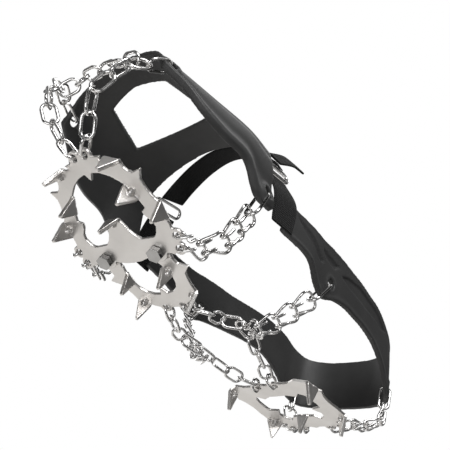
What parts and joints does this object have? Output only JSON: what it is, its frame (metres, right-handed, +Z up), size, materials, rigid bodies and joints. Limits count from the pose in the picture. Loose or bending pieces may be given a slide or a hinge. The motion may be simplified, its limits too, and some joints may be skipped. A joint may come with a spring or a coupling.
{
  "type": "shoe ice cleats",
  "caption": "Slip-on ice cleats for a boot: toothed steel plates under the sole, hung on ladder and link chains from a rubber harness with an instep strap.",
  "frame": {"origin": "on the ground under the middle of the whole part", "axes": "+X towards the wearer's right (the side called near), +Y towards the heel, +Z up"},
  "size_m": [0.124, 0.3354, 0.1394],
  "materials": {
    "steel": "brushed stainless sheet",
    "nickel": "bright plated wire",
    "zinc": "zinc plated",
    "rubber": "matte moulded elastomer",
    "webbing": "black woven webbing"
  },
  "bodies": {
    "forefoot": {"front_plate": "steel", "mid_plate": "steel", "front_harness": "rubber", "instep_strap": "webbing", "hex_bolt_near": "zinc", "hex_bolt_far": "zinc", "lock_nut_near": "zinc", "lock_nut_far": "zinc", "toe_chain_near": "nickel", "toe_chain_far": "nickel", "arch_chain_fore_near": "nickel", "arch_chain_fore_far": "nickel", "strap_buckle_near": "nickel", "strap_buckle_far": "nickel", "side_webbing_near": "webbing", "side_webbing_far": "webbing", "front_ladder_near_link_1": "nickel", "front_ladder_near_link_2": "nickel", "front_ladder_near_link_3": "nickel", "front_ladder_near_link_4": "nickel", "front_ladder_far_link_1": "nickel", "front_ladder_far_link_2": "nickel", "front_ladder_far_link_3": "nickel", "front_ladder_far_link_4": "nickel"},
    "heel_half": {"heel_plate": "steel", "heel_harness": "rubber", "arch_chain_rear_near": "nickel", "arch_chain_rear_far": "nickel", "arch_ladder_near_link_1": "nickel", "arch_ladder_near_link_2": "nickel", "arch_ladder_near_link_3": "nickel", "arch_ladder_near_link_4": "nickel", "arch_ladder_far_link_1": "nickel", "arch_ladder_far_link_2": "nickel", "arch_ladder_far_link_3": "nickel", "arch_ladder_far_link_4": "nickel", "heel_ladder_near_link_1": "nickel", "heel_ladder_near_link_2": "nickel", "heel_ladder_near_link_3": "nickel", "heel_ladder_near_link_4": "nickel", "heel_ladder_far_link_1": "nickel", "heel_ladder_far_link_2": "nickel", "heel_ladder_far_link_3": "nickel", "heel_ladder_far_link_4": "nickel"},
    "toe_cross_chain": {"toe_cross_chain": "nickel"},
    "strap_tail": {"strap_tail": "webbing"},
    "front_ring_near": {"front_ladder_near_ring": "nickel"},
    "front_ring_far": {"front_ladder_far_ring": "nickel"},
    "arch_ring_near": {"arch_ladder_near_ring": "nickel"},
    "arch_ring_far": {"arch_ladder_far_ring": "nickel"},
    "heel_ring_near": {"heel_ladder_near_ring": "nickel"},
    "heel_ring_far": {"heel_ladder_far_ring": "nickel"}
  },
  "joints": [
    {"name": "arch_fold", "type": "hinge", "parent": "forefoot", "child": "heel_half", "pos_m": [0, 0.00067, 0.01801], "axis": [1, 0, 0], "range_deg": [-5, 5], "stiffness_Nm_per_rad": 4},
    {"name": "toe_cross_swing", "type": "hinge", "parent": "forefoot", "child": "toe_cross_chain", "pos_m": [0.03741, -0.15279, 0.07725], "axis": [-0.9944, -0.0905, 0.0536], "range_deg": [-10, 10]},
    {"name": "strap_tail_peel", "type": "hinge", "parent": "forefoot", "child": "strap_tail", "pos_m": [0.0463, -0.04633, 0.11441], "axis": [0.6261, 0.2087, -0.7513], "range_deg": [0, 90]},
    {"name": "front_ring_swivel_near", "type": "hinge", "parent": "forefoot", "child": "front_ring_near", "pos_m": [0.057, -0.05575, 0.06645], "axis": [0.0529, 0.2157, 0.975], "range_deg": [-8, 8]},
    {"name": "front_ring_swivel_far", "type": "hinge", "parent": "forefoot", "child": "front_ring_far", "pos_m": [-0.057, -0.05575, 0.06645], "axis": [-0.048, 0.2336, 0.9711], "range_deg": [-8, 8]},
    {"name": "arch_ring_swivel_near", "type": "hinge", "parent": "heel_half", "child": "arch_ring_near", "pos_m": [0.05487, 0.02599, 0.06318], "axis": [0.1163, 0.4826, 0.8681], "range_deg": [-8, 8]},
    {"name": "arch_ring_swivel_far", "type": "hinge", "parent": "heel_half", "child": "arch_ring_far", "pos_m": [-0.05487, 0.02599, 0.06318], "axis": [-0.1066, 0.4656, 0.8786], "range_deg": [-8, 8]},
    {"name": "heel_ring_swivel_near", "type": "hinge", "parent": "heel_half", "child": "heel_ring_near", "pos_m": [0.04129, 0.14832, 0.05769], "axis": [0.0191, 0.0754, 0.997], "range_deg": [-8, 8]},
    {"name": "heel_ring_swivel_far", "type": "hinge", "parent": "heel_half", "child": "heel_ring_far", "pos_m": [-0.04129, 0.14832, 0.05769], "axis": [-0.0358, 0.07, 0.9969], "range_deg": [-8, 8]}
  ]
}
